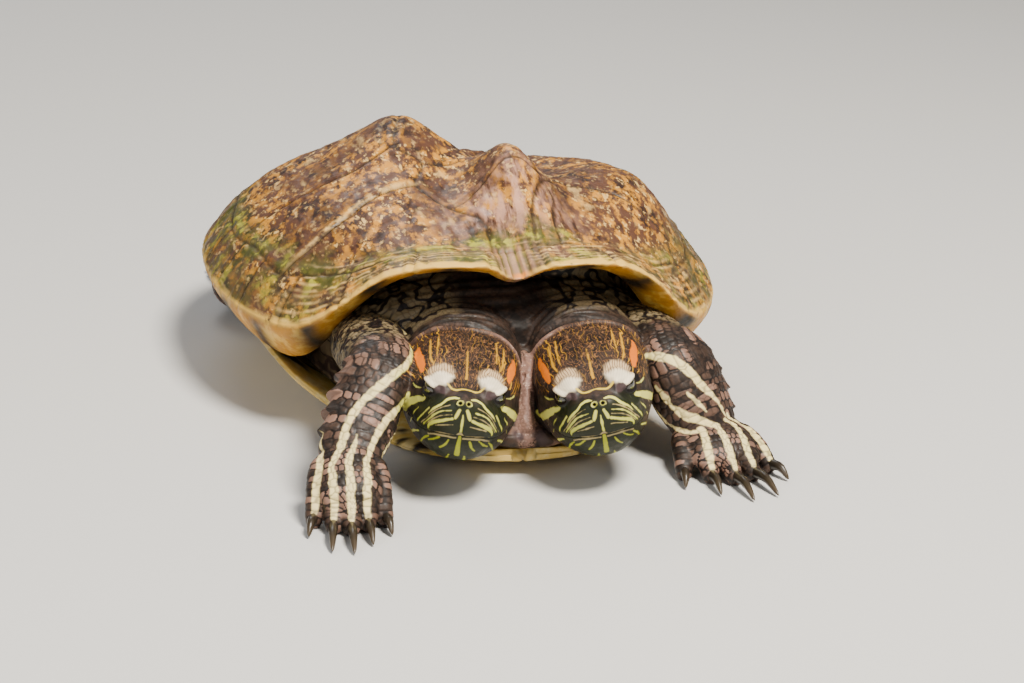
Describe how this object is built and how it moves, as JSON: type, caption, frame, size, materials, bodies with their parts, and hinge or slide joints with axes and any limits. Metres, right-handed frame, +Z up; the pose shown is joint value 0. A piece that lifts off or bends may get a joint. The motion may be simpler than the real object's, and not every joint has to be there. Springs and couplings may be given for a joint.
{
  "type": "two-headed red-eared slider turtle",
  "caption": "Life-size basking red-eared slider with paired heads side by side, lying on its plastron with forelimbs stretched ahead over the floor.",
  "frame": {"origin": "on the floor, on the flat of the plastron's underside, at the middle of the belly", "axes": "the heads face -Y, +X is the animal's left, +Z is up"},
  "size_m": [0.1556, 0.243, 0.0672],
  "materials": {
    "carapace": "satin brown horn with ochre patches, dark seams and a film of algae",
    "plastron": "smooth yellow horn with dark blotches",
    "skin": "finely scaled dark skin with cream and yellow stripes and an orange-red ear patch",
    "eye": "wet gloss",
    "claw": "smooth dark horn"
  },
  "bodies": {
    "root": {"carapace": "carapace", "plastron": "plastron", "trunk": "skin", "tail": "skin", "neck_right": "skin", "neck_left": "skin", "head_right": "skin", "head_left": "skin", "eye_right_of_right_head": "eye", "eye_left_of_right_head": "eye", "eye_right_of_left_head": "eye", "eye_left_of_left_head": "eye", "upper_arm_right": "skin", "forearm_right": "skin", "hand_right": "skin", "thigh_right": "skin", "shin_right": "skin", "foot_right": "skin", "upper_arm_left": "skin", "forearm_left": "skin", "hand_left": "skin", "thigh_left": "skin", "shin_left": "skin", "foot_left": "skin", "claw_front_right_1": "claw", "claw_front_right_2": "claw", "claw_front_right_3": "claw", "claw_front_right_4": "claw", "claw_front_right_5": "claw", "claw_front_left_1": "claw", "claw_front_left_2": "claw", "claw_front_left_3": "claw", "claw_front_left_4": "claw", "claw_front_left_5": "claw", "claw_hind_right_1": "claw", "claw_hind_right_2": "claw", "claw_hind_right_3": "claw", "claw_hind_right_4": "claw", "claw_hind_left_1": "claw", "claw_hind_left_2": "claw", "claw_hind_left_3": "claw", "claw_hind_left_4": "claw"}
  },
  "joints": []
}
